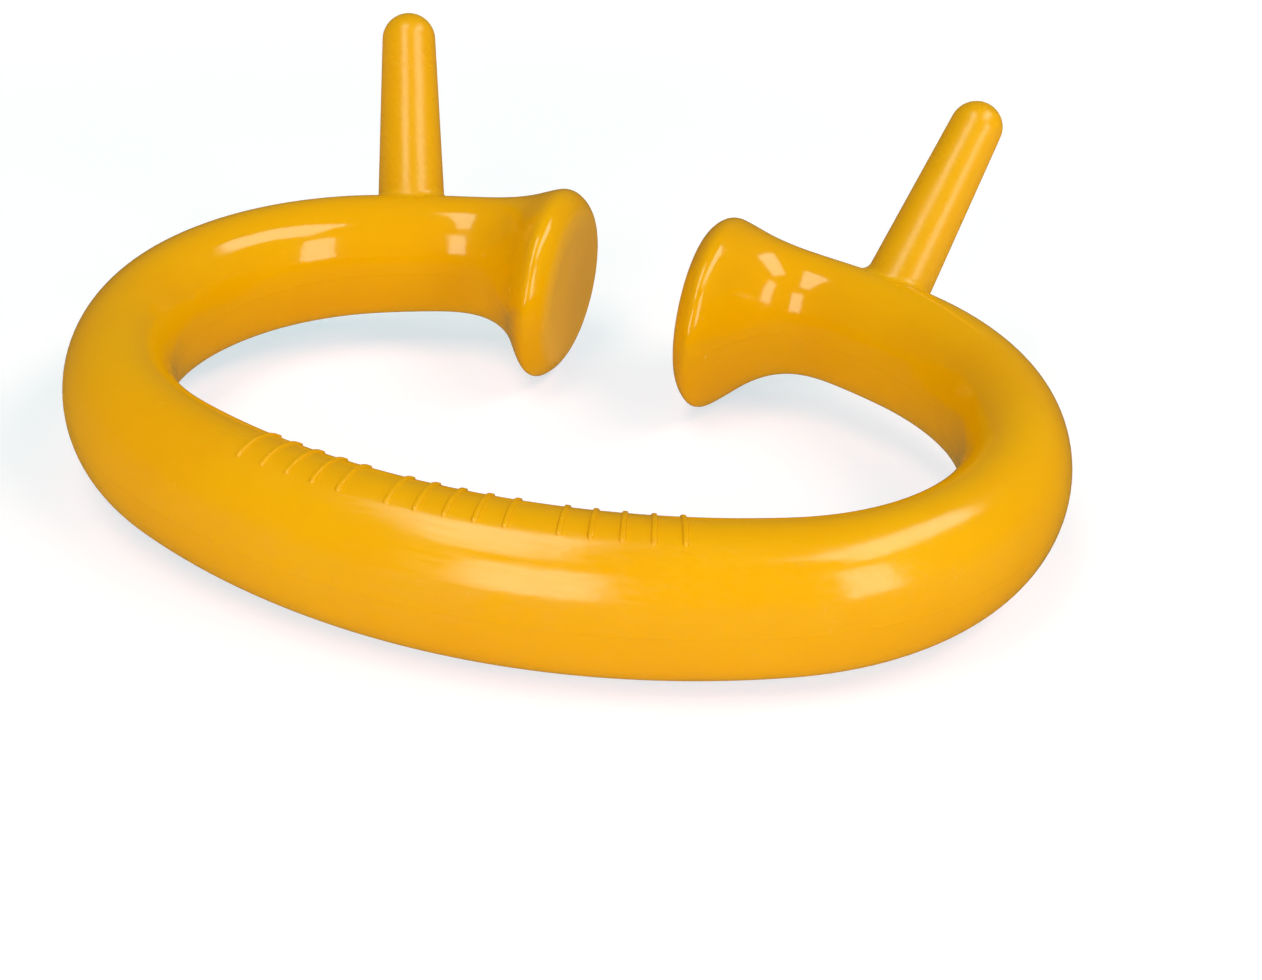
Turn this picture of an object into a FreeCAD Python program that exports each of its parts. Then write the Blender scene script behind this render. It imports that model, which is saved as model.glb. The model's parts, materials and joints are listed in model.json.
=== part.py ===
import FreeCAD, Part
import os
import Sketcher

# Cattle weaning nose ring: an open, springy C-shaped bar with two round pads that sit on either side of the
# nasal septum, and two blunt prods that stand out in front of the muzzle.
#
# Frame, in millimetres: +X is the animal's side, +Y runs from the bar to the pads, +Z is up. The ring lies on a
# flat surface at z = 0, on the lowest points of its pads and of its front bar.
#
# The bar's centreline lies in the ring's own plane and is symmetric about X = 0. Its right half starts at the
# middle of the front bar and is three tangent arcs: front, bend and arm. A place on it is named by its heading,
# the angle by which the centreline has turned since the front middle.

DIMENSIONS = (
    # the centreline
    ("front_y", -44.53),
    ("front_radius", 85.0),
    ("front_angle", 26.9),
    ("bend_radius", 36.0),
    ("bend_angle", 126.3),
    ("arm_radius", 80.0),
    ("arm_angle", 22.2),
    # the headings between which the bar flexes when the ring is opened
    ("flex_start", 50.0),
    ("flex_end", 130.0),
    # half heights (along Z) and half widths (in the ring's plane) of the bar's oval section
    ("front_half_height", 10.0),
    ("front_half_width", 8.3),
    ("flex_start_half_height", 9.5),
    ("flex_start_half_width", 7.3),
    ("flex_end_half_height", 9.1),
    ("flex_end_half_width", 6.8),
    ("neck_half_height", 8.5),
    ("neck_half_width", 6.4),
    # the pads
    ("nose_gap", 17.5),
    ("flare_length", 18.8),
    ("flare_half_height", 10.3),
    ("flare_half_width", 9.6),
    ("flare_drop", 2.9),
    ("pad_half_height", 13.5),
    ("pad_half_width", 15.1),
    ("pad_drop", 7.2),
    ("rim_thickness", 4.5),
    ("rim_fillet", 4.4),
    ("spigot_radius", 3.5),
    ("spigot_length", 9.0),
    # the prods
    ("prod_setback", 25.7),
    ("prod_lean", 40.0),
    ("prod_length", 36.1),
    ("prod_root_depth", 1.5),
    ("prod_root_radius", 4.9),
    ("prod_tip_radius", 3.7),
    # the raised marks, in groups along the top of the front bar
    ("mark_height", 0.35),
    ("mark_width", 0.9),
    ("mark_first_heading", -17.4),
    ("mark_pitch_angle", 2.3),
    ("mark_group_angle", 13.2),
    ("mark_reach_in", 4.6),
    ("mark_reach_out", 3.2),
    # how the ring lies on a flat surface
    ("rest_tilt", 2.69),
    ("ring_height", 12.09),
)
MARK_GROUPS = 3
MARKS_PER_GROUP = 5
X_AXIS = FreeCAD.Vector(1, 0, 0)
Y_AXIS = FreeCAD.Vector(0, 1, 0)
Z_AXIS = FreeCAD.Vector(0, 0, 1)
# a placement that isn't turned yet forgets its axis, so each one starts a little turned
STARTING_TURN = 1

doc = FreeCAD.newDocument("WeaningRing")
dims = doc.addObject("Spreadsheet::Sheet", "Dims")
for row, (alias, size) in enumerate(DIMENSIONS, start=1):
    dims.set(f"A{row}", alias)
    dims.set(f"B{row}", str(size))
    dims.setAlias(f"B{row}", alias)
doc.recompute()

# Headings and places on the right half of the centreline, as expressions of the driving dimensions.
BEND_END = "(Dims.front_angle + Dims.bend_angle)"
FACE_HEADING = f"({BEND_END} + Dims.arm_angle)"
NECK_HEADING = f"({FACE_HEADING} - Dims.flare_length / Dims.arm_radius * 180 / pi)"
FLARE_HEADING = f"({FACE_HEADING} - Dims.flare_length / Dims.arm_radius * 90 / pi)"
PROD_HEADING = f"({FACE_HEADING} - Dims.prod_setback / Dims.arm_radius * 180 / pi)"
FRONT_X = "0"
FRONT_Y = "(Dims.front_y + Dims.front_radius)"
BEND_X = "((Dims.front_radius - Dims.bend_radius) * sin(Dims.front_angle))"
BEND_Y = f"({FRONT_Y} - (Dims.front_radius - Dims.bend_radius) * cos(Dims.front_angle))"
ARM_X = f"({BEND_X} - (Dims.arm_radius - Dims.bend_radius) * sin({BEND_END}))"
ARM_Y = f"({BEND_Y} + (Dims.arm_radius - Dims.bend_radius) * cos({BEND_END}))"


def number(expression):
    """The value that an expression has now."""
    return float(dims.evalExpression(expression))


def turned_about(axis):
    """A placement at the origin whose angle is about to be bound to an expression."""
    return FreeCAD.Placement(FreeCAD.Vector(), FreeCAD.Rotation(axis, STARTING_TURN))


def on_arc(centre_x, centre_y, radius, heading):
    """Expressions for the point of an arc where the centreline has a heading."""
    return f"({centre_x} + {radius} * sin({heading}))", f"({centre_y} - {radius} * cos({heading}))"


def origin_plane(body, role):
    return next(feature for feature in body.Origin.OriginFeatures if feature.Role == role)


def new_sketch(body, name, role):
    sketch = body.newObject("Sketcher::SketchObject", name)
    sketch.AttachmentSupport = [(origin_plane(body, role), "")]
    sketch.MapMode = "FlatFace"
    return sketch


def size_constraint(sketch, name, kind, where, expression):
    """Add a dimension to a sketch and bind it to an expression."""
    start = number(expression)
    if kind == "Angle":
        start = FreeCAD.Units.Quantity(f"{start} deg")
    index = sketch.addConstraint(Sketcher.Constraint(kind, *where, start))
    sketch.renameConstraint(index, name)
    sketch.setExpression(f"Constraints.{name}", expression)


def arc_geometry(centre_x, centre_y, radius, start_heading, end_heading):
    """An arc of the centreline, which turns left between two headings."""
    centre = FreeCAD.Vector(number(centre_x), number(centre_y), 0)
    circle = Part.Circle(centre, Z_AXIS, number(radius))
    start = FreeCAD.Units.Quantity(f"{number(start_heading) - 90} deg").getValueAs("rad").Value
    end = FreeCAD.Units.Quantity(f"{number(end_heading) - 90} deg").getValueAs("rad").Value
    return Part.ArcOfCircle(circle, start, end)


def first_arc(sketch, name, centre, radius, start_heading, end_heading):
    """The arc that a spine starts with, held by its centre, radius, start and span."""
    arc = sketch.addGeometry(arc_geometry(*centre, radius, start_heading, end_heading))
    start_y = on_arc(*centre, radius, start_heading)[1]
    size_constraint(sketch, f"{name}_centre_x", "DistanceX", (-1, 1, arc, 3), centre[0])
    size_constraint(sketch, f"{name}_centre_y", "DistanceY", (-1, 1, arc, 3), centre[1])
    size_constraint(sketch, f"{name}_radius", "Radius", (arc,), radius)
    size_constraint(sketch, f"{name}_start_y", "DistanceY", (-1, 1, arc, 1), start_y)
    size_constraint(sketch, f"{name}_span", "Angle", (arc,), f"{end_heading} - {start_heading}")
    return arc


def next_arc(sketch, name, before, centre, radius, start_heading, end_heading):
    """An arc that carries on from another without a corner."""
    arc = sketch.addGeometry(arc_geometry(*centre, radius, start_heading, end_heading))
    sketch.addConstraint(Sketcher.Constraint("Tangent", before, 2, arc, 1))
    size_constraint(sketch, f"{name}_radius", "Radius", (arc,), radius)
    size_constraint(sketch, f"{name}_span", "Angle", (arc,), f"{end_heading} - {start_heading}")
    return arc


def oval_section(body, name, place, heading, half_width, half_height):
    """An oval across the bar, centred on a place of the ring's plane and facing along a heading."""
    sketch = new_sketch(body, name, "XZ_Plane")
    sketch.AttachmentOffset = turned_about(Y_AXIS)
    sketch.setExpression("AttachmentOffset.Base.x", place[0])
    sketch.setExpression("AttachmentOffset.Base.z", f"-{place[1]}")
    sketch.setExpression("AttachmentOffset.Rotation.Angle", f"{heading} - 90")
    top = FreeCAD.Vector(0, number(half_height), 0)
    side = FreeCAD.Vector(number(half_width), 0, 0)
    upright = top.Length > side.Length
    oval = sketch.addGeometry(Part.Ellipse(*((top, side) if upright else (side, top)), FreeCAD.Vector()))
    sketch.exposeInternalGeometry(oval)
    long_line, short_line = oval + 1, oval + 2
    height_line, width_line = (long_line, short_line) if upright else (short_line, long_line)
    sketch.addConstraint(Sketcher.Constraint("Coincident", oval, 3, -1, 1))
    sketch.addConstraint(Sketcher.Constraint("Vertical", height_line))
    size_constraint(sketch, "oval_height", "Distance", (height_line,), f"2 * {half_height}")
    size_constraint(sketch, "oval_width", "Distance", (width_line,), f"2 * {half_width}")
    return sketch


def sweep(body, spine, sections):
    """The bar between its first and last section, along the spine."""
    pipe = body.newObject("PartDesign::AdditivePipe", "Bar")
    pipe.Profile = sections[0]
    pipe.Spine = (spine, [f"Edge{n + 1}" for n in range(spine.GeometryCount)])
    pipe.Mode = "Standard"
    pipe.Transformation = "Multisection"
    pipe.Sections = sections[1:]
    return pipe


def lie_down(piece, label):
    """Name a finished piece and give it the attitude in which the ring lies on a surface."""
    piece.Label = label
    piece.Placement = turned_about(X_AXIS)
    piece.setExpression("Placement.Base.z", "Dims.ring_height")
    piece.setExpression("Placement.Rotation.Angle", "Dims.rest_tilt")
    return piece


def place_primitive(primitive, place, axis, angle):
    """Put a primitive's own base at a place of the ring's plane, turned about a level axis."""
    primitive.Placement = turned_about(X_AXIS)
    for part, expression in zip(("Base.x", "Base.y", "Base.z"), place):
        primitive.setExpression(f"Placement.{part}", expression)
    primitive.setExpression("Placement.Rotation.Axis.x", axis[0])
    primitive.setExpression("Placement.Rotation.Axis.y", axis[1])
    primitive.setExpression("Placement.Rotation.Angle", angle)


def front_bar_body(name, growth):
    """The thick bar in front of the muzzle, between the two flexing bends, grown outwards by a little."""
    body = doc.addObject("PartDesign::Body", name)
    spine = new_sketch(body, f"{name}Spine", "XY_Plane")
    left_centre = (f"(-{BEND_X})", BEND_Y)
    left = first_arc(spine, "left", left_centre, "Dims.bend_radius", "(-Dims.flex_start)", "(-Dims.front_angle)")
    front = next_arc(
        spine, "front", left, (FRONT_X, FRONT_Y), "Dims.front_radius", "(-Dims.front_angle)", "Dims.front_angle"
    )
    next_arc(spine, "right", front, (BEND_X, BEND_Y), "Dims.bend_radius", "Dims.front_angle", "Dims.flex_start")
    right_end = on_arc(BEND_X, BEND_Y, "Dims.bend_radius", "Dims.flex_start")
    left_end = (f"(-{right_end[0]})", right_end[1])
    end_size = (f"(Dims.flex_start_half_width + {growth})", f"(Dims.flex_start_half_height + {growth})")
    middle_size = (f"(Dims.front_half_width + {growth})", f"(Dims.front_half_height + {growth})")
    sections = [
        oval_section(body, f"{name}LeftEnd", left_end, "(-Dims.flex_start)", *end_size),
        oval_section(body, f"{name}Middle", (FRONT_X, "(Dims.front_y)"), "0", *middle_size),
        oval_section(body, f"{name}RightEnd", right_end, "Dims.flex_start", *end_size),
    ]
    sweep(body, spine, sections)
    return body


def right_bend_body():
    """The bend beside the muzzle, which flexes when the ring is opened."""
    body = doc.addObject("PartDesign::Body", "RightBend")
    centre = (BEND_X, BEND_Y)
    spine = new_sketch(body, "RightBendSpine", "XY_Plane")
    first_arc(spine, "bend", centre, "Dims.bend_radius", "Dims.flex_start", "Dims.flex_end")
    start_size = ("Dims.flex_start_half_width", "Dims.flex_start_half_height")
    end_size = ("Dims.flex_end_half_width", "Dims.flex_end_half_height")
    start = on_arc(*centre, "Dims.bend_radius", "Dims.flex_start")
    end = on_arc(*centre, "Dims.bend_radius", "Dims.flex_end")
    sections = [
        oval_section(body, "RightBendStart", start, "Dims.flex_start", *start_size),
        oval_section(body, "RightBendEnd", end, "Dims.flex_end", *end_size),
    ]
    sweep(body, spine, sections)
    return body


def right_arm_body():
    """The arm that runs back in from the bend to the neck of the pad."""
    body = doc.addObject("PartDesign::Body", "RightArmBar")
    centre = (BEND_X, BEND_Y)
    spine = new_sketch(body, "RightArmSpine", "XY_Plane")
    outer = first_arc(spine, "outer", centre, "Dims.bend_radius", "Dims.flex_end", BEND_END)
    next_arc(spine, "inner", outer, (ARM_X, ARM_Y), "Dims.arm_radius", BEND_END, NECK_HEADING)
    start = on_arc(*centre, "Dims.bend_radius", "Dims.flex_end")
    neck = on_arc(ARM_X, ARM_Y, "Dims.arm_radius", NECK_HEADING)
    start_size = ("Dims.flex_end_half_width", "Dims.flex_end_half_height")
    neck_size = ("Dims.neck_half_width", "Dims.neck_half_height")
    sections = [
        oval_section(body, "RightArmStart", start, "Dims.flex_end", *start_size),
        oval_section(body, "RightArmNeck", neck, NECK_HEADING, *neck_size),
    ]
    sweep(body, spine, sections)
    return body


def right_pad_body():
    """The horn-shaped end: an oval neck that flares into a thick round pad with a flat face."""
    body = doc.addObject("PartDesign::Body", "RightPadHorn")
    face_x = "(Dims.nose_gap / 2)"
    face_y = on_arc(ARM_X, ARM_Y, "Dims.arm_radius", FACE_HEADING)[1]
    neck = on_arc(ARM_X, ARM_Y, "Dims.arm_radius", NECK_HEADING)
    flare = on_arc(ARM_X, ARM_Y, "(Dims.arm_radius - Dims.flare_drop)", FLARE_HEADING)
    rim = (f"({face_x} + Dims.rim_thickness)", f"({face_y} - Dims.pad_drop)")
    rim_size = ("Dims.pad_half_width", "Dims.pad_half_height")
    horn = body.newObject("PartDesign::AdditiveLoft", "Horn")
    horn.Profile = oval_section(
        body, "RightPadNeck", neck, NECK_HEADING, "Dims.neck_half_width", "Dims.neck_half_height"
    )
    horn.Sections = [
        oval_section(body, "RightPadFlare", flare, FLARE_HEADING, "Dims.flare_half_width", "Dims.flare_half_height"),
        oval_section(body, "RightPadRim", rim, "180", *rim_size),
    ]
    doc.recompute()
    disc = body.newObject("PartDesign::Pad", "Disc")
    disc.Profile = oval_section(body, "RightPadDisc", rim, "180", *rim_size)
    disc.setExpression("Length", "Dims.rim_thickness")
    disc.UseCustomVector = True
    disc.Direction = -X_AXIS
    doc.recompute()
    face_edges = [
        f"Edge{n}"
        for n, edge in enumerate(disc.Shape.Edges, start=1)
        if edge.BoundBox.XMax < number(face_x) + 0.01
    ]
    rounding = body.newObject("PartDesign::Fillet", "Rim")
    rounding.Base = (disc, face_edges)
    rounding.setExpression("Radius", "Dims.rim_fillet")
    body.Tip = rounding
    return body


def spigot_cylinder():
    """The stub of the arm that the pad is moulded on to."""
    spigot = doc.addObject("Part::Cylinder", "RightSpigot")
    spigot.setExpression("Radius", "Dims.spigot_radius")
    spigot.setExpression("Height", "Dims.spigot_length")
    neck = on_arc(ARM_X, ARM_Y, "Dims.arm_radius", NECK_HEADING)
    place_primitive(spigot, (*neck, "0"), (f"-sin({NECK_HEADING})", f"cos({NECK_HEADING})"), "90")
    return spigot


def right_prod_solids():
    """The prod's tapered shaft, from the floor of its socket in the arm, and its round tip."""
    foot = on_arc(ARM_X, ARM_Y, "Dims.arm_radius", PROD_HEADING)
    lean_axis = (f"cos({PROD_HEADING})", f"sin({PROD_HEADING})")

    def along(distance):
        """The place on the prod's axis at a distance from the arm's centreline."""
        outward = f"{distance} * sin(Dims.prod_lean)"
        return (
            f"{foot[0]} + {outward} * sin({PROD_HEADING})",
            f"{foot[1]} - {outward} * cos({PROD_HEADING})",
            f"{distance} * cos(Dims.prod_lean)",
        )

    tip_centre = "(Dims.prod_length - Dims.prod_tip_radius)"
    shaft = doc.addObject("Part::Cone", "RightProdShaft")
    shaft.setExpression("Radius1", "Dims.prod_root_radius")
    shaft.setExpression("Radius2", "Dims.prod_tip_radius")
    shaft.setExpression("Height", f"{tip_centre} - Dims.prod_root_depth")
    place_primitive(shaft, along("Dims.prod_root_depth"), lean_axis, "Dims.prod_lean")
    tip = doc.addObject("Part::Sphere", "RightProdTip")
    tip.setExpression("Radius", "Dims.prod_tip_radius")
    place_primitive(tip, along(tip_centre), lean_axis, "Dims.prod_lean")
    return shaft, tip


def raised_marks(bar):
    """Groups of plain raised ribs across the top of the front bar."""
    boxes = []
    for n in range(MARK_GROUPS * MARKS_PER_GROUP):
        group, place = divmod(n, MARKS_PER_GROUP)
        box = doc.addObject("Part::Box", f"MarkBox{n + 1}")
        box.setExpression("Length", "Dims.mark_width")
        box.setExpression("Width", "Dims.mark_reach_in + Dims.mark_reach_out")
        box.setExpression("Height", "2 * Dims.front_half_height")
        turn = f"(Dims.mark_first_heading + {group} * Dims.mark_group_angle + {place} * Dims.mark_pitch_angle)"
        reach = "(Dims.front_radius + Dims.mark_reach_out)"
        half = "(Dims.mark_width / 2)"
        box.Placement = turned_about(Z_AXIS)
        box.setExpression("Placement.Base.x", f"{reach} * sin({turn}) - {half} * cos({turn})")
        box.setExpression("Placement.Base.y", f"{FRONT_Y} - {reach} * cos({turn}) - {half} * sin({turn})")
        box.setExpression("Placement.Rotation.Angle", turn)
        boxes.append(box)
    row = doc.addObject("Part::Compound", "MarkBoxes")
    row.Links = boxes
    skin = boolean("Common", "MarkSkin", front_bar_body("MarkBar", "Dims.mark_height"), row)
    lie_down(skin, "mark_skin")
    return boolean("Cut", "Marks", skin, bar)


def boolean(kind, name, base, tool):
    piece = doc.addObject(f"Part::{kind}", name)
    piece.Base = base
    piece.Tool = tool
    return piece


def mirror_left(right_piece, label):
    """The left-hand twin of a right-hand piece."""
    twin = doc.addObject("Part::Mirroring", f"Mirrored{right_piece.Name}")
    twin.Source = right_piece
    twin.Normal = X_AXIS
    twin.Label = label
    return twin


bar = front_bar_body("FrontBar", "0")
marks = raised_marks(bar)
bend = right_bend_body()
arm_bar = right_arm_body()
horn = right_pad_body()
spigot = spigot_cylinder()
shaft, tip = right_prod_solids()
arm = boolean("Cut", "RightArm", boolean("Fuse", "RightArmSolid", arm_bar, spigot), shaft)
pad = boolean("Cut", "RightPad", horn, spigot)
prod = boolean("Fuse", "RightProd", shaft, tip)

marks.Label = "raised_marks"
right_pieces = [
    lie_down(bend, "right_bend"),
    lie_down(arm, "right_arm"),
    lie_down(pad, "right_nose_pad"),
    lie_down(prod, "right_prod"),
]
left_pieces = [mirror_left(piece, piece.Label.replace("right", "left")) for piece in right_pieces]
lie_down(bar, "front_bar")
sub_parts = [bar, marks, *right_pieces, *left_pieces]
doc.recompute()

for thing in doc.Objects:
    if "Invalid" in thing.State or "Error" in thing.State:
        raise RuntimeError(f"{thing.Label} failed: {thing.State}")

os.makedirs("parts", exist_ok=True)
for piece in sub_parts:
    if piece.Shape.isNull() or not piece.Shape.isValid():
        raise RuntimeError(f"{piece.Label} has no valid shape")
    box = piece.Shape.optimalBoundingBox(False)
    print(
        f"{piece.Label}: {len(piece.Shape.Solids)} solid(s), {piece.Shape.Volume:.0f} mm3,"
        f" x {box.XMin:.2f} to {box.XMax:.2f}, y {box.YMin:.2f} to {box.YMax:.2f}, z {box.ZMin:.2f} to {box.ZMax:.2f}"
    )
    piece.Shape.exportStep(f"parts/{piece.Label}.step")
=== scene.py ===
import json
import math

import bpy
import numpy as np
from mathutils import Matrix, Vector


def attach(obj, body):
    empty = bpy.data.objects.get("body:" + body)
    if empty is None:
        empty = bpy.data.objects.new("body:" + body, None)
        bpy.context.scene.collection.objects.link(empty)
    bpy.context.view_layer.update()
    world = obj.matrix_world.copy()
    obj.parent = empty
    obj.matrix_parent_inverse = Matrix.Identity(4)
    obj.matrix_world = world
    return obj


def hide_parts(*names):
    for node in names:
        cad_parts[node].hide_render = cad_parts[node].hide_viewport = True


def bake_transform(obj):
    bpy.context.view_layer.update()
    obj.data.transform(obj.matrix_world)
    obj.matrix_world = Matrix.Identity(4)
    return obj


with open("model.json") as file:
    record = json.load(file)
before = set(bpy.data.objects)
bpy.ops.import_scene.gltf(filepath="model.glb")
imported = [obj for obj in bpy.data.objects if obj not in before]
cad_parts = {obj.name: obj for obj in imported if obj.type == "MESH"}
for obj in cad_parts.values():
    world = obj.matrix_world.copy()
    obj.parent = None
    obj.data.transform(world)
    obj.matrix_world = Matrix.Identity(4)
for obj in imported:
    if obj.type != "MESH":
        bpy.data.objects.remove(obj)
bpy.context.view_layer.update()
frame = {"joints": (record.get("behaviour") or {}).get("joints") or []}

MM = 0.001

# ---------------------------------------------------------------------------------------------------
# The ring in its own plane, in millimetres and degrees: the same driving dimensions as the CAD part

# The centreline's right half is three arcs in a row, from the middle of the front
FRONT_Y = -44.53
ARC_RADII = (85.0, 36.0, 80.0)
ARC_TURNS = (26.9, 126.3, 22.2)

# Headings of the centreline between which the side bend flexes
FLEX_START, FLEX_END = 50.0, 130.0

# Half heights and half widths of the bar's oval section: at the front, in mid bend and at the pads
HALF_HEIGHTS = (10.0, 9.3, 8.5)
HALF_WIDTHS = (8.3, 7.0, 6.4)

# The pad: the bar flares into an oval rim, which rounds over ROUND_DEEP x ROUND_IN on to the face
PAD_LENGTH = 18.8
FLARE_LENGTH, FLARE_END = 23.4, 4.5
FLARE_POWER, DROP_POWER = 3.3, 3.0
RIM_SOFTNESS = 0.46
RIM_HALF_HEIGHT, RIM_HALF_WIDTH = 13.35, 15.05
ROUND_DEEP, ROUND_IN = 4.6, 5.0
PAD_DROP = 7.2

# The prods: length, radius at the root and radius at the tip. The two aren't quite alike.
PROD_SETBACK, PROD_LEAN, PROD_ROOT_DEPTH = 25.7, 40.0, 1.5
PROD_SIZES = {"left": (35.96, 5.0, 3.85), "right": (35.8, 4.85, 3.62)}
FILLET_RADIUS = 1.3

# The raised marks across the top of the front bar
MARK_GROUPS, MARKS_PER_GROUP = 3, 5
MARK_FIRST_HEADING, MARK_PITCH, MARK_GROUP_TURN = -17.4, 2.3, 13.2
MARK_WIDTH, MARK_HEIGHT = 0.9, 0.24
MARK_REACH_IN, MARK_REACH_OUT = 4.6, 3.2

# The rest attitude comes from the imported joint, whose axis is square to the ring's plane
right_joint = next(joint for joint in frame["joints"] if joint["name"] == "right_flex")
AXIS = Vector(right_joint["axis"])
PIVOT = Vector(right_joint["pos_m"])
UP = -AXIS if AXIS.z < 0 else AXIS
TILT = math.atan2(-UP.y, UP.z)
RING_HEIGHT = PIVOT.z - PIVOT.y * math.tan(TILT)

FRONT_LENGTH, BEND_LENGTH, ARM_LENGTH = (
    radius * math.radians(turn) for radius, turn in zip(ARC_RADII, ARC_TURNS)
)
HALF_LENGTH = FRONT_LENGTH + BEND_LENGTH + ARM_LENGTH
BEND_MIDDLE = FRONT_LENGTH + BEND_LENGTH / 2

# A place along the skin is an arc length as far as the rim, and then goes on round the rim's
# quarter circle to the flat face
RIM_START = HALF_LENGTH - ROUND_DEEP
SKIN_END = RIM_START + ROUND_DEEP * math.pi / 2


def smoothstep(x):
    x = np.clip(x, 0, 1)
    return x * x * (3 - 2 * x)


def unit(vectors):
    return vectors / np.linalg.norm(vectors, axis=-1, keepdims=True)


def centre_line(length):
    """Place and heading of the centreline at an arc length from the front middle, negative on the left."""
    length = np.asarray(length, float)
    side = np.where(length < 0, -1.0, 1.0)
    run = np.abs(length)
    place = np.array([0.0, FRONT_Y])
    heading, start = 0.0, 0.0
    x, y, turned = np.zeros(run.shape), np.zeros(run.shape), np.zeros(run.shape)
    for radius, turn in zip(ARC_RADII, np.radians(ARC_TURNS)):
        here = run >= start
        angle = heading + (run - start) / radius
        centre = place + radius * np.array([-math.sin(heading), math.cos(heading)])
        x = np.where(here, centre[0] + radius * np.sin(angle), x)
        y = np.where(here, centre[1] - radius * np.cos(angle), y)
        turned = np.where(here, angle, turned)
        heading += turn
        start += radius * turn
        place = centre + radius * np.array([math.sin(heading), -math.cos(heading)])
    return side * x, y, side * turned


def length_at(heading):
    """The arc length from the front middle at which the centreline has a heading in degrees."""
    done, length = 0.0, 0.0
    for radius, turn in zip(ARC_RADII, ARC_TURNS):
        part = min(max(heading - done, 0.0), turn)
        length += radius * math.radians(part)
        done += turn
    return length


def section(length):
    """Half width and half height of the bar's oval at an arc length."""
    run = np.abs(length)
    to_front = smoothstep((BEND_MIDDLE - run) / BEND_MIDDLE)
    to_pad = smoothstep((run - BEND_MIDDLE) / (HALF_LENGTH - BEND_MIDDLE))
    sizes = []
    for front, middle, pad in (HALF_WIDTHS, HALF_HEIGHTS):
        sizes.append(middle + (front - middle) * to_front + (pad - middle) * to_pad)
    return sizes


def flare(from_face, power):
    """How far the section has grown from the bar's (0) to the pad's (1), levelling off softly at the rim."""
    over = np.clip((FLARE_LENGTH - from_face) / (FLARE_LENGTH - FLARE_END), 0, None) ** power - 1
    softened = np.clip(RIM_SOFTNESS - np.abs(over), 0, None) ** 2 / (4 * RIM_SOFTNESS)
    return 1 + np.minimum(over, 0) - softened


def skin(place, angle):
    """Points of the ring's skin, for arrays of places along it and angles round it that broadcast."""
    place, angle = np.broadcast_arrays(np.asarray(place, float), np.asarray(angle, float))
    past_rim = np.abs(place) > RIM_START
    round_angle = np.clip((np.abs(place) - RIM_START) / ROUND_DEEP, 0, math.pi / 2)
    length = np.where(past_rim, HALF_LENGTH - ROUND_DEEP * (1 - np.sin(round_angle)), place)
    x, y, heading = centre_line(length)
    width, height = section(length)
    from_face = HALF_LENGTH - np.abs(length)
    grown, dropped = flare(from_face, FLARE_POWER), flare(from_face, DROP_POWER)
    across = (width + (RIM_HALF_WIDTH - width) * grown) * np.cos(angle)
    above = (height + (RIM_HALF_HEIGHT - height) * grown) * np.sin(angle)
    shrink = ROUND_IN * (1 - np.cos(round_angle))
    scale = 1 - shrink / np.hypot(across, above)
    across = across * scale - PAD_DROP * dropped
    above = above * scale
    facing = heading + (math.pi - heading) * smoothstep(1 - from_face / FLARE_LENGTH)
    return np.stack([x + across * np.sin(facing), y - across * np.cos(facing), above], axis=-1)


NORMAL_STEP, NORMAL_TURN = 0.02, 0.002


def skin_normal(place, angle):
    """Outward unit normals of the skin."""
    low = np.minimum(np.asarray(place, float) + NORMAL_STEP, SKIN_END)
    along = skin(low, angle) - skin(low - 2 * NORMAL_STEP, angle)
    around = skin(place, angle + NORMAL_TURN) - skin(place, angle - NORMAL_TURN)
    return unit(np.cross(along, around))


def tilted(vectors, side):
    """From the ring's plane, on the right, to the frame's directions, mirrored on the left."""
    x, y, z = np.moveaxis(np.asarray(vectors, float) * (side, 1.0, 1.0), -1, 0)
    cosine, sine = math.cos(TILT), math.sin(TILT)
    return np.stack([x, y * cosine - z * sine, y * sine + z * cosine], axis=-1)


def to_world(points, side):
    """From the ring's plane, in millimetres and on the right, to the frame, in metres."""
    return tilted(np.asarray(points, float) * MM, side) + (0, 0, RING_HEIGHT)


# ---------------------------------------------------------------------------------------------------
# Meshes


class Shell:
    """Vertices, their normals and faces of one piece, in millimetres and on the right."""

    def __init__(self, side=1):
        self.side = side
        self.points, self.normals, self.faces = [], [], []

    def add(self, points, normals):
        first = len(self.points)
        self.points.extend(np.reshape(points, (-1, 3)))
        self.normals.extend(np.reshape(normals, (-1, 3)))
        return first

    def face(self, *corners):
        self.faces.append(corners if self.side > 0 else corners[::-1])

    def grid(self, points, normals):
        """Closed rings of points joined into quads, one ring after another."""
        rings, count = points.shape[:2]
        first = self.add(points, normals)
        for ring in range(rings - 1):
            here, beyond = first + ring * count, first + (ring + 1) * count
            for c in range(count):
                d = (c + 1) % count
                self.face(here + c, beyond + c, beyond + d, here + d)

    def cap(self, ring, normal, last_ring, steps=1):
        """Close a grid's first or last ring with vertices of its own, so that the edge stays crisp."""
        centre = ring.mean(axis=0)
        count = len(ring)
        rings = [centre + (ring - centre) * (1 - k / steps) for k in range(steps)]
        firsts = [self.add(points, np.tile(normal, (count, 1))) for points in rings]
        middle = self.add(centre, normal)
        pairs = list(zip(firsts, firsts[1:]))
        for c in range(count):
            d = (c + 1) % count
            faces = [(outer + c, inner + c, inner + d, outer + d) for outer, inner in pairs]
            faces.append((firsts[-1] + c, middle, firsts[-1] + d))
            for corners in faces:
                self.face(*(corners if last_ring else corners[::-1]))

    def build(self, name, material):
        points = to_world(self.points, self.side)
        normals = tilted(self.normals, self.side)
        mesh = bpy.data.meshes.new(name)
        mesh.from_pydata(points.tolist(), [], self.faces)
        mesh.shade_smooth()
        corners = np.zeros(len(mesh.loops), np.int32)
        mesh.loops.foreach_get("vertex_index", corners)
        mesh.normals_split_custom_set(normals[corners].tolist())
        mesh.materials.append(material)
        piece = bpy.data.objects.new(name, mesh)
        bpy.context.scene.collection.objects.link(piece)
        return piece


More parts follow.
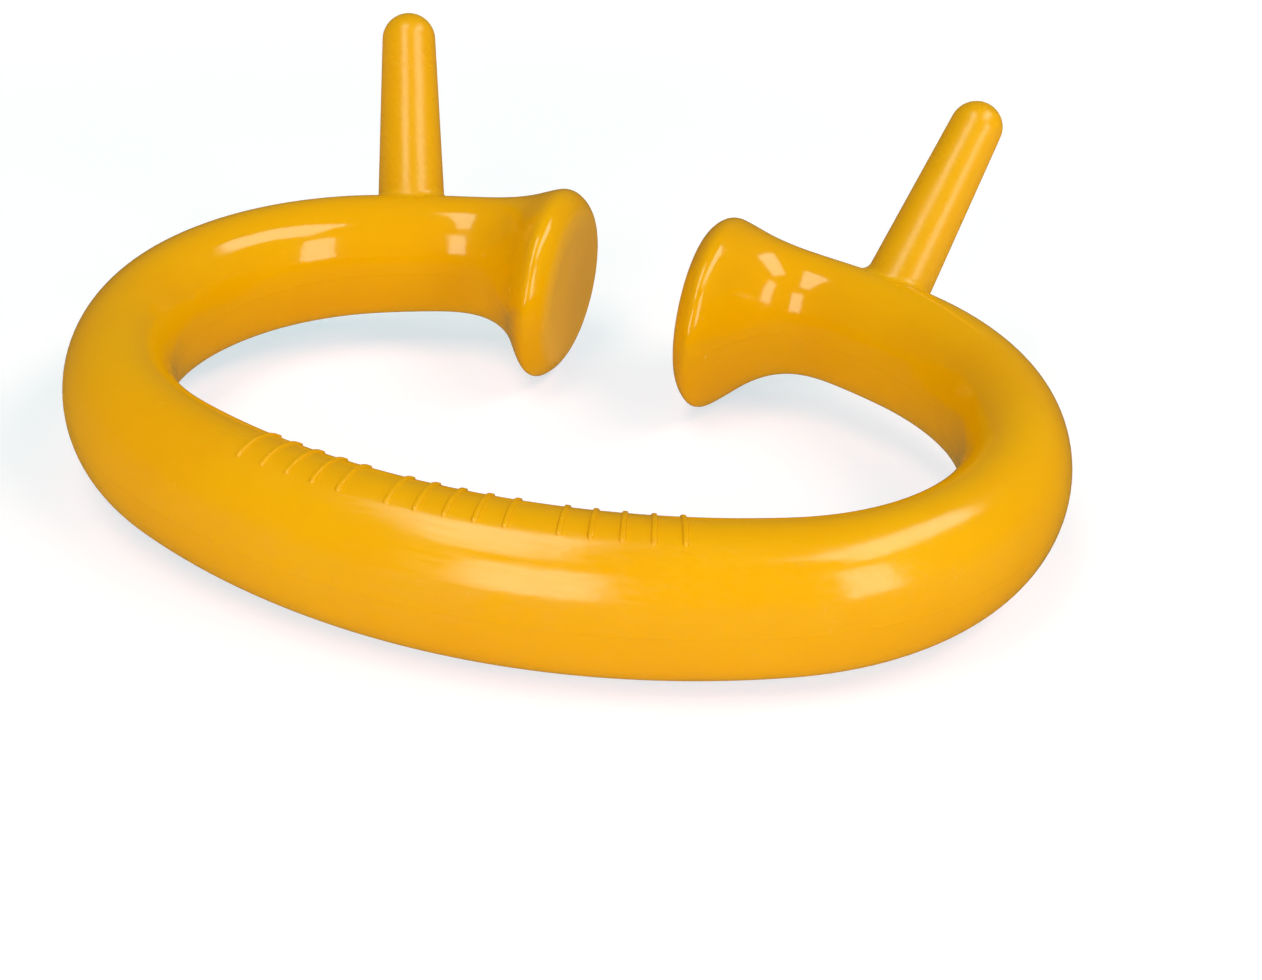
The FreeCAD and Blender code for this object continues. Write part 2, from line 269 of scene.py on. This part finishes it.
AROUND = 96
ANGLES = np.arange(AROUND) * 2 * math.pi / AROUND
FACE_RINGS = 6


def stations(start, end, spacing):
    """Evenly spaced places from start to end."""
    return np.linspace(start, end, max(2, int(round(abs(end - start) / spacing)) + 1))


def bar_piece(name, side, places, material, last_rings=1):
    """A length of the skin, closed by a flat face at each end, the last one in so many rings."""
    shell = Shell(side)
    grid = skin(places[:, None], ANGLES[None, :])
    shell.grid(grid, skin_normal(places[:, None], ANGLES[None, :]))
    for ring, towards, rings in ((grid[0], -1, 1), (grid[-1], 1, last_rings)):
        centre = ring.mean(axis=0)
        square = np.cross(ring[AROUND // 4] - centre, ring[0] - centre)
        shell.cap(ring, towards * unit(square), towards > 0, rings)
    return shell.build(name, material)


# ---------------------------------------------------------------------------------------------------
# Materials


class Nodes:
    """A short way to add and join the nodes of one material."""

    def __init__(self, name):
        self.material = bpy.data.materials.new(name)
        self.material.use_nodes = True
        self.tree = self.material.node_tree
        self.shader = self.tree.nodes["Principled BSDF"]
        self.place = self.add("ShaderNodeTexCoord").outputs["Object"]

    def add(self, kind, **settings):
        node = self.tree.nodes.new(kind)
        for key, value in settings.items():
            setattr(node, key, value)
        return node

    def join(self, output, socket):
        self.tree.links.new(output, socket)

    def noise(self, scale, detail, roughness=0.5, turned=None, stretched=None):
        """Noise over the object's coordinates, which may be turned and stretched first."""
        place = self.place
        if stretched:
            mapping = self.add("ShaderNodeMapping")
            mapping.inputs["Rotation"].default_value = turned
            mapping.inputs["Scale"].default_value = stretched
            self.join(place, mapping.inputs["Vector"])
            place = mapping.outputs["Vector"]
        node = self.add("ShaderNodeTexNoise")
        self.join(place, node.inputs["Vector"])
        node.inputs["Scale"].default_value = scale
        node.inputs["Detail"].default_value = detail
        node.inputs["Roughness"].default_value = roughness
        return node.outputs["Fac"]

    def ramp(self, value, *stops):
        """A ramp of two grey levels. Each stop is (position, grey level)."""
        node = self.add("ShaderNodeValToRGB")
        for point, (position, level) in zip(node.color_ramp.elements, stops):
            point.position = position
            point.color = (level, level, level, 1)
        self.join(value, node.inputs["Fac"])
        return node.outputs["Color"]

    def mix(self, share, first, second):
        node = self.add("ShaderNodeMix", data_type="RGBA")
        self.join(share, node.inputs["Factor"])
        for source, socket in ((first, node.inputs["A"]), (second, node.inputs["B"])):
            if isinstance(source, tuple):
                socket.default_value = (*source, 1)
            else:
                self.join(source, socket)
        return node.outputs["Result"]

    def maths(self, operation, first, second=0.0):
        node = self.add("ShaderNodeMath", operation=operation)
        for source, socket in zip((first, second), node.inputs):
            if isinstance(source, (int, float)):
                socket.default_value = source
            else:
                self.join(source, socket)
        return node.outputs["Value"]

    def rising(self, value, none_at, full_at):
        """How far a value has got from one at which this is 0 to another at which it is 1."""
        node = self.add("ShaderNodeMapRange", interpolation_type="SMOOTHSTEP")
        self.join(value, node.inputs["Value"])
        node.inputs["From Min"].default_value = none_at
        node.inputs["From Max"].default_value = full_at
        return node.outputs["Result"]

    def coordinate(self, axis):
        split = self.add("ShaderNodeSeparateXYZ")
        self.join(self.place, split.inputs["Vector"])
        return split.outputs[axis]

    def parting_line(self):
        """1 on the line that the mould's halves leave in the ring's middle plane, and 0 away from it."""
        above = self.add("ShaderNodeVectorMath", operation="DOT_PRODUCT")
        self.join(self.place, above.inputs[0])
        above.inputs[1].default_value = UP
        height = self.maths("SUBTRACT", above.outputs["Value"], UP.dot(PIVOT))
        widths_off = self.maths("DIVIDE", self.maths("ABSOLUTE", height), PARTING_WIDTH)
        return self.ramp(widths_off, (0.1, 1.0), (0.5, 0.0))

    def bump(self, height, distance, strength, under=None):
        node = self.add("ShaderNodeBump")
        node.inputs["Distance"].default_value = distance
        node.inputs["Strength"].default_value = strength
        self.join(height, node.inputs["Height"])
        if under is not None:
            self.join(under, node.inputs["Normal"])
        return node.outputs["Normal"]


PLASTIC = (0.81, 0.36, 0.0)
PLASTIC_DEEP = (0.785, 0.332, 0.0)
PROD_TONE = (0.77, 0.355, 0.0)
SCUFFED = (0.80, 0.365, 0.0)
# The paler tone on the pad faces is a painted sheen, in place of their broad glossy reflection; the rubbing
# there only makes them duller
RUBBED_AND_SHEEN_TONE = (0.77, 0.37, 0.02)
PLASTIC_IOR, SHINE = 1.5, 0.48
PARTING_WIDTH = 0.00025

# How much each kind of wear adds to the roughness
HAZE_DULLNESS, WORN_DULLNESS, RUBBED_DULLNESS = 0.05, 0.22, 0.3

# A pad face's distance from the middle plane, and how many times as far out the skin ends that is worn
# duller by rubbing and carries a painted sheen
FACE_AT, FACE_FADE = 0.00877, 1.12

# Where the fine lines along the front bar begin and where they are full, along Y
COMB_NONE_AT, COMB_FULL_AT = 0.0, -0.03


def plastic(name, tone, gloss, scuffs, combed=0.0, face_at=None):
    """Glossy moulded plastic: faint mottling, a slightly wavy skin, fine scratches and dull scuffs.

    combed is how much duller the front bar gets, in fine lines along it. face_at is the distance
    from the middle plane, in metres, within which the skin is worn duller by rubbing and painted paler, a
    painted sheen.
    """
    n = Nodes(name)
    mottle = n.ramp(n.noise(42, 4, 0.55), (0.38, 0.0), (0.66, 1.0))
    colour = n.mix(mottle, tone, PLASTIC_DEEP)

    # Hairline scratches in two directions, only in some areas
    one_way = n.noise(900, 3, 0.6, turned=(0.3, 0.2, 0.6), stretched=(1, 0.035, 1))
    other_way = n.noise(760, 3, 0.6, turned=(0.1, 0.9, -0.5), stretched=(0.03, 1, 1))
    hairs_one = n.ramp(one_way, (0.66, 0.0), (0.72, 1.0))
    hairs_two = n.ramp(other_way, (0.67, 0.0), (0.73, 1.0))
    where = n.ramp(n.noise(70, 3, 0.5), (0.5, 0.0), (0.62, 1.0))
    hairs = n.maths("MULTIPLY", n.maths("MAXIMUM", hairs_one, hairs_two), where)

    # Scuffed patches, with the scratches, make the worn places, which are paler and duller
    patch = n.ramp(n.noise(120, 5, 0.62), (0.56, 0.0), (0.7, 1.0))
    worn = n.maths("MULTIPLY", n.maths("MAXIMUM", n.maths("MULTIPLY", patch, 0.6), hairs), scuffs)
    colour = n.mix(worn, colour, SCUFFED)
    haze = n.ramp(n.noise(180, 4, 0.6), (0.35, 0.0), (0.75, 1.0))
    dullness = n.maths("ADD", n.maths("MULTIPLY", haze, HAZE_DULLNESS), gloss)
    dullness = n.maths("ADD", dullness, n.maths("MULTIPLY", worn, WORN_DULLNESS))

    if combed:
        along_bar = n.noise(2400, 2, 0.5, turned=(0, 0, 0), stretched=(0.06, 1, 1))
        lines = n.ramp(along_bar, (0.42, 0.3), (0.62, 1.0))
        to_front = n.rising(n.coordinate("Y"), COMB_NONE_AT, COMB_FULL_AT)
        lines = n.maths("MULTIPLY", lines, to_front)
        dullness = n.maths("ADD", dullness, n.maths("MULTIPLY", lines, combed))
    # Near a pad's face the skin is worn duller by rubbing, and painted paler as a painted sheen
    if face_at:
        off_middle = n.maths("ABSOLUTE", n.coordinate("X"))
        rubbed = n.rising(off_middle, face_at * FACE_FADE, face_at)
        colour = n.mix(rubbed, colour, RUBBED_AND_SHEEN_TONE)
        dullness = n.maths("ADD", dullness, n.maths("MULTIPLY", rubbed, RUBBED_DULLNESS))

    # Long waves, fine peel, scratches and the parting line, each added to the one before
    waves = n.bump(n.noise(95, 2, 0.4), 0.00035, 0.35)
    peel = n.bump(n.noise(1100, 2, 0.5), 0.00002, 0.5, under=waves)
    scratched = n.bump(hairs, 0.00001, 0.6, under=peel)
    parted = n.bump(n.parting_line(), 0.00003, 0.7, under=scratched)

    n.join(colour, n.shader.inputs["Base Color"])
    n.join(dullness, n.shader.inputs["Roughness"])
    n.join(parted, n.shader.inputs["Normal"])
    n.shader.inputs["IOR"].default_value = PLASTIC_IOR
    n.shader.inputs["Specular IOR Level"].default_value = SHINE
    return n.material


ring_plastic = plastic("ring_plastic", PLASTIC, gloss=0.08, scuffs=0.35, combed=0.14)
prod_plastic = plastic("prod_plastic", PROD_TONE, gloss=0.26, scuffs=0.5)
pad_plastic = plastic("pad_plastic", PLASTIC, gloss=0.1, scuffs=0.8, face_at=FACE_AT)

# ---------------------------------------------------------------------------------------------------
# The prods

# The arm's centreline in short steps, from well before the prod's foot nearly to the pad's face
ARM_SAMPLES = np.arange(HALF_LENGTH - 50, HALF_LENGTH - 8, 0.02)
ARM_X, ARM_Y, ARM_HEADING = centre_line(ARM_SAMPLES)
RING_UP = np.array([0.0, 0.0, 1.0])


def on_arm(points):
    """How points near the arm lie to it.

    Gives the nearest place on the centreline, the outward direction there, the distance across the
    bar, the section's half width and half height, and how many sections out the points are.
    """
    gaps = (points[:, None, 0] - ARM_X) ** 2 + (points[:, None, 1] - ARM_Y) ** 2
    nearest = np.argmin(gaps, axis=1)
    heading = ARM_HEADING[nearest]
    outward = np.stack([np.sin(heading), -np.cos(heading), 0 * heading], axis=-1)
    centre = np.stack([ARM_X[nearest], ARM_Y[nearest], 0 * heading], axis=-1)
    across = np.sum((points - centre) * outward, axis=-1)
    width, height = section(ARM_SAMPLES[nearest])
    return centre, outward, across, width, height, np.hypot(across / width, points[:, 2] / height)


def onto_arm(points):
    """The arm's surface under points near it, and its outward normals there."""
    centre, outward, across, width, height, ratio = on_arm(points)
    across, above = across / ratio, points[:, 2] / ratio
    surface = centre + across[:, None] * outward + above[:, None] * RING_UP
    slope = (across / width**2)[:, None] * outward + (above / height**2)[:, None] * RING_UP
    return surface, unit(slope)


PROD_AROUND = 72
TIP_RINGS, SHAFT_RINGS, FILLET_RINGS = 12, 24, 9
TIP_OPENING = 0.06
HALVINGS = 30

# The skirt under the fillet: distance out along the arm, depth below it, and which way it faces
SKIRT_STEPS = ((0.5, 0.2, 1), (0.3, 0.8, -1))


def prod_piece(name, side, sizes, material):
    """A blunt tapered prod with a round tip, whose foot runs into the arm in a small fillet.

    Below the fillet a short skirt dips under the arm's surface and runs back to the root inside it.
    """
    length, root_radius, tip_radius = sizes
    x, y, heading = (float(v) for v in centre_line(HALF_LENGTH - PROD_SETBACK))
    foot = np.array([x, y, 0.0])
    outward = np.array([math.sin(heading), -math.cos(heading), 0.0])
    lean = math.radians(PROD_LEAN)
    axis = math.cos(lean) * RING_UP + math.sin(lean) * outward
    first = np.array([math.cos(heading), math.sin(heading), 0.0])
    second = np.cross(axis, first)
    turn = np.arange(PROD_AROUND) * 2 * math.pi / PROD_AROUND
    spoke = np.cos(turn)[:, None] * first + np.sin(turn)[:, None] * second
    tip_centre = length - tip_radius
    taper = (tip_radius - root_radius) / (tip_centre - PROD_ROOT_DEPTH)

    def shaft(along):
        along = np.broadcast_to(np.asarray(along, float), turn.shape)
        radius = root_radius + taper * (along - PROD_ROOT_DEPTH)
        return foot + along[:, None] * axis + radius[:, None] * spoke

    # Where the shaft comes out of the arm, found by halving for every spoke
    low, high = np.full(PROD_AROUND, PROD_ROOT_DEPTH), np.full(PROD_AROUND, 0.6 * length)
    for _ in range(HALVINGS):
        middle = (low + high) / 2
        inside = on_arm(shaft(middle))[-1] < 1
        low, high = np.where(inside, middle, low), np.where(inside, high, middle)

    # The fillet's two edges, on the shaft and on the arm, from the corner between them
    corner = shaft(low)
    ground = onto_arm(corner)[1]
    rising = unit(axis + taper * spoke)
    leaving = unit(spoke - np.sum(spoke * ground, axis=-1)[:, None] * ground)
    opening = np.arccos(np.clip(np.sum(rising * leaving, axis=-1), -1, 1))
    reach = FILLET_RADIUS / np.tan(opening / 2)
    top = shaft(low + reach)
    edge, edge_normal = onto_arm(corner + leaving * reach[:, None])
    weight = np.sin(opening / 2)[:, None]
    side_normal = unit(spoke - taper * axis)

    rings, normals = [], []
    for angle in np.linspace(TIP_OPENING, math.pi / 2, TIP_RINGS):
        outwards = math.cos(angle) * axis + math.sin(angle) * spoke
        rings.append(foot + tip_centre * axis + tip_radius * outwards)
        normals.append(unit(outwards))
    for share in np.linspace(0, 1, SHAFT_RINGS)[1:-1]:
        rings.append(shaft(tip_centre + (low + reach - tip_centre) * share))
        normals.append(side_normal)
    for share in np.linspace(0, 1, FILLET_RINGS):
        parts = (1 - share) ** 2, 2 * share * (1 - share) * weight, share**2
        rings.append((parts[0] * top + parts[1] * corner + parts[2] * edge) / sum(parts))
        normals.append(unit(side_normal * (1 - share) + edge_normal * share))
    for out, down, facing in SKIRT_STEPS:
        rings.append(edge + leaving * out - edge_normal * down)
        normals.append(edge_normal * facing)
    rings.append(shaft(PROD_ROOT_DEPTH))
    normals.append(np.tile(-axis, (PROD_AROUND, 1)))

    shell = Shell(side)
    shell.grid(np.array(rings), np.array(normals))
    shell.cap(rings[0], axis, last_ring=False)
    shell.cap(rings[-1], -axis, last_ring=True)
    return shell.build(name, material)


# ---------------------------------------------------------------------------------------------------
# The raised marks

MARK_STEPS_ALONG, MARK_STEPS_ACROSS = 44, 16
MARK_MARGIN, MARK_SHOULDER, MARK_SHOULDER_OUT = 0.1, 0.32, 0.06
MARK_SUNK, MARK_DEPTH = 0.15, 0.7


def add_mark(shell, ground, normal, height):
    """One rib: its top over the ground, a bottom sunk in the bar, and the walls between them."""
    top = ground + height[..., None] * normal
    normals = unit(np.cross(np.gradient(top, axis=0), np.gradient(top, axis=1)))
    normals *= np.sign(np.sum(normals * normal, axis=-1))[..., None]
    first = shell.add(top, normals)
    second = shell.add(ground - MARK_DEPTH * normal, -normal)
    rows, columns = top.shape[:2]
    for r in range(rows - 1):
        for c in range(columns - 1):
            a, b = r * columns + c, (r + 1) * columns + c
            shell.face(first + a, first + b, first + b + 1, first + a + 1)
            shell.face(second + a, second + a + 1, second + b + 1, second + b)
    rim = (
        list(range(columns))
        + [r * columns + columns - 1 for r in range(1, rows)]
        + [(rows - 1) * columns + c for c in range(columns - 2, -1, -1)]
        + [r * columns for r in range(rows - 2, 0, -1)]
    )
    for one, two in zip(rim, rim[1:] + rim[:1]):
        shell.face(first + one, first + two, second + two, second + one)


def marks_piece(name, material):
    """Groups of plain ribs with soft shoulders across the top of the front bar."""
    shell = Shell()
    long_half, wide_half = (MARK_REACH_IN + MARK_REACH_OUT) / 2, MARK_WIDTH / 2
    middle = (MARK_REACH_OUT - MARK_REACH_IN) / 2
    long_end, wide_end = long_half + MARK_MARGIN, wide_half + MARK_MARGIN
    along = np.linspace(-long_end, long_end, MARK_STEPS_ALONG)[:, None]
    across = np.linspace(-wide_end, wide_end, MARK_STEPS_ACROSS)[None, :]
    beyond = np.clip(np.abs(along) - (long_half - wide_half), 0, None)
    inside = wide_half - np.hypot(beyond, across)
    risen = smoothstep((inside + MARK_SHOULDER_OUT) / MARK_SHOULDER)
    height = (MARK_HEIGHT + MARK_SUNK) * risen - MARK_SUNK
    out = along + middle + 0 * across
    for group in range(MARK_GROUPS):
        for place in range(MARKS_PER_GROUP):
            turn = MARK_FIRST_HEADING + group * MARK_GROUP_TURN + place * MARK_PITCH
            length = ARC_RADII[0] * (math.radians(turn) + across / (ARC_RADII[0] + out))
            angle = np.arccos(out / section(length)[0])
            add_mark(shell, skin(length, angle), skin_normal(length, angle), height)
    return shell.build(name, material)


# ---------------------------------------------------------------------------------------------------
# The pieces

FRONT_SPACING, BEND_SPACING, PAD_SPACING, RIM_SPACING = 1.5, 1.2, 0.8, 0.4
RIM_APPROACH = 4.0

flex_start, flex_end = length_at(FLEX_START), length_at(FLEX_END)
neck = HALF_LENGTH - PAD_LENGTH
near_rim = RIM_START - RIM_APPROACH
front_places = stations(-flex_start, flex_start, FRONT_SPACING)
bend_places = stations(flex_start, flex_end, BEND_SPACING)
arm_places = stations(flex_end, neck, BEND_SPACING)
pad_places = np.concatenate([
    stations(neck, near_rim, PAD_SPACING)[:-1],
    stations(near_rim, RIM_START, RIM_SPACING)[:-1],
    stations(RIM_START, SKIN_END, RIM_SPACING),
])

front = bar_piece("front_bar_skin", 1, front_places, ring_plastic)
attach(front, "ring_front")
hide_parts("front_bar")
for side, word in ((-1, "left"), (1, "right")):
    bend = bar_piece(f"{word}_bend_skin", side, bend_places, ring_plastic)
    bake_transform(bend)
    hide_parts(f"{word}_bend")
    arm = bar_piece(f"{word}_arm_skin", side, arm_places, ring_plastic)
    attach(arm, f"{word}_jaw")
    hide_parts(f"{word}_arm")
    pad = bar_piece(f"{word}_nose_pad_skin", side, pad_places, pad_plastic, last_rings=FACE_RINGS)
    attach(pad, f"{word}_jaw")
    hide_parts(f"{word}_nose_pad")
    prod = prod_piece(f"{word}_prod_skin", side, PROD_SIZES[word], prod_plastic)
    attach(prod, f"{word}_jaw")
    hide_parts(f"{word}_prod")
marks = marks_piece("raised_marks_skin", ring_plastic)
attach(marks, "ring_front")
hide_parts("raised_marks")

# ---------------------------------------------------------------------------------------------------
# Camera

CAMERA_AZIMUTH, CAMERA_ELEVATION, CAMERA_ROLL, CAMERA_DISTANCE = 16.714, 26.968, 3.207, 0.3139
CAMERA_TARGET = Vector((0, -0.00403, 0.0119))
SENSOR_WIDTH, LENS = 36, 69.875
SHIFT_X, SHIFT_Y = 0.0582, -0.0642
CLIP_START, CLIP_END = 0.01, 50

azimuth, elevation, roll = (math.radians(a) for a in (CAMERA_AZIMUTH, CAMERA_ELEVATION, CAMERA_ROLL))
sideways = Vector((math.sin(azimuth), -math.cos(azimuth), 0))
back = sideways * math.cos(elevation) + Vector((0, 0, math.sin(elevation)))
level = Vector((math.cos(azimuth), math.sin(azimuth), 0))
camera_right = level * math.cos(roll) + back.cross(level) * math.sin(roll)
camera_up = back.cross(camera_right)
camera_place = CAMERA_TARGET + back * CAMERA_DISTANCE
camera_rows = [[*row, p] for row, p in zip(zip(camera_right, camera_up, back), camera_place)]

camera_data = bpy.data.cameras.new("camera")
camera_data.sensor_width = SENSOR_WIDTH
camera_data.lens = LENS
camera_data.shift_x, camera_data.shift_y = SHIFT_X, SHIFT_Y
camera_data.clip_start, camera_data.clip_end = CLIP_START, CLIP_END
camera = bpy.data.objects.new("camera", camera_data)
camera.matrix_world = Matrix(camera_rows + [[0, 0, 0, 1]])
bpy.context.scene.collection.objects.link(camera)
bpy.context.scene.camera = camera

# ---------------------------------------------------------------------------------------------------
# Floor, wall and lights

ROOM_REACH = 6.0
FLOOR_TONE, FLOOR_ROUGHNESS = (0.79, 0.42, 0.41), 0.9
WHITE, BLACK = (1.0, 1.0, 1.0), (0.0, 0.0, 0.0)

# The floor glows a little, so that shadows stay light and grey. Between these distances from the
# ring's middle its glow turns white.
NEAR_GLOW, GLOW_NEAR, GLOW_FAR = (0.31, 0.605, 0.72), 0.13, 0.5

WALL_SIDES, WALL_HEIGHT, WALL_DROP = 48, 6.0, 0.3


def stage_piece(name, corners, faces, material):
    """A plain part of the room."""
    mesh = bpy.data.meshes.new(name)
    mesh.from_pydata(corners, [], faces)
    mesh.materials.append(material)
    piece = bpy.data.objects.new(name, mesh)
    bpy.context.scene.collection.objects.link(piece)
    return piece


def floor_white():
    n = Nodes("floor_white")
    away = n.add("ShaderNodeVectorMath", operation="LENGTH")
    n.join(n.place, away.inputs[0])
    far = n.rising(away.outputs["Value"], GLOW_NEAR, GLOW_FAR)
    n.join(n.mix(far, NEAR_GLOW, WHITE), n.shader.inputs["Emission Color"])
    n.shader.inputs["Base Color"].default_value = (*FLOOR_TONE, 1)
    n.shader.inputs["Roughness"].default_value = FLOOR_ROUGHNESS
    n.shader.inputs["Emission Strength"].default_value = 1.0
    return n.material


def wall_white():
    n = Nodes("wall_white")
    n.shader.inputs["Base Color"].default_value = (*BLACK, 1)
    n.shader.inputs["Emission Color"].default_value = (*WHITE, 1)
    n.shader.inputs["Emission Strength"].default_value = 1.0
    return n.material


square_corners = ((-1, -1), (1, -1), (1, 1), (-1, 1))
floor_corners = [(x * ROOM_REACH, y * ROOM_REACH, 0) for x, y in square_corners]
floor = stage_piece("floor", floor_corners, [(0, 1, 2, 3)], floor_white())
floor.visible_glossy = False

# A white wall all round, which only a level view sees
turns = [k * 2 * math.pi / WALL_SIDES for k in range(WALL_SIDES)]
wall_circle = [(ROOM_REACH * math.cos(turn), ROOM_REACH * math.sin(turn)) for turn in turns]
wall_corners = [(x, y, z) for z in (-WALL_DROP, WALL_HEIGHT) for x, y in wall_circle]
wall_pairs = [(k, (k + 1) % WALL_SIDES) for k in range(WALL_SIDES)]
wall_faces = [(k, m, WALL_SIDES + m, WALL_SIDES + k) for k, m in wall_pairs]
wall = stage_piece("wall", wall_corners, wall_faces, wall_white())
wall.visible_glossy = False
wall.visible_diffuse = False
wall.visible_shadow = False
wall.visible_transmission = False

# A dim even studio, warmer below the horizon, where only reflections look: they pass through the
# floor, which isn't in them
WORLD_STRENGTH = 0.26
HORIZON_LOW, BELOW_HORIZON = 0.0, (0.84, 0.6, 0.2, 1)
HORIZON_HIGH, ABOVE_HORIZON = 0.25, (1, 0.97, 0.3, 1)

world = bpy.data.worlds.new("studio")
world.use_nodes = True
world_nodes = world.node_tree.nodes
world_links = world.node_tree.links
background = world_nodes["Background"]
background.inputs["Strength"].default_value = WORLD_STRENGTH
direction = world_nodes.new("ShaderNodeTexCoord")
split = world_nodes.new("ShaderNodeSeparateXYZ")
horizon = world_nodes.new("ShaderNodeValToRGB")
world_links.new(direction.outputs["Generated"], split.inputs["Vector"])
world_links.new(split.outputs["Z"], horizon.inputs["Fac"])
world_links.new(horizon.outputs["Color"], background.inputs["Color"])
below, above = horizon.color_ramp.elements
below.position, below.color = HORIZON_LOW, BELOW_HORIZON
above.position, above.color = HORIZON_HIGH, ABOVE_HORIZON
bpy.context.scene.world = world

SOFTBOX_RADIANCE = 4.7
SOFTBOX_COLOUR = (0.87, 1.0, 0.87)


def softbox(name, place, size, upright):
    """A rectangular lamp centred at a place, standing upright towards the ring or hanging level."""
    lamp = bpy.data.lights.new(name, "AREA")
    lamp.shape = "RECTANGLE"
    lamp.size, lamp.size_y = size
    lamp.color = SOFTBOX_COLOUR
    lamp.energy = SOFTBOX_RADIANCE * math.pi * lamp.size * lamp.size_y
    holder = bpy.data.objects.new(name, lamp)
    holder.location = place
    if upright:
        holder.rotation_mode = "QUATERNION"
        holder.rotation_quaternion = Vector((place[0], place[1], 0)).to_track_quat("Z", "Y")
    bpy.context.scene.collection.objects.link(holder)


softbox("window_left", (0.0, -1.2, 0.46), (0.50, 0.80), upright=True)
softbox("window_right", (1.07, -0.54, 0.46), (0.36, 0.80), upright=True)
softbox("ceiling_left", (-0.23, -0.51, 1.10), (0.43, 0.96), upright=False)
softbox("ceiling_right", (0.83, 0.15, 1.10), (0.58, 1.10), upright=False)
bpy.context.scene.view_settings.view_transform = "Standard"
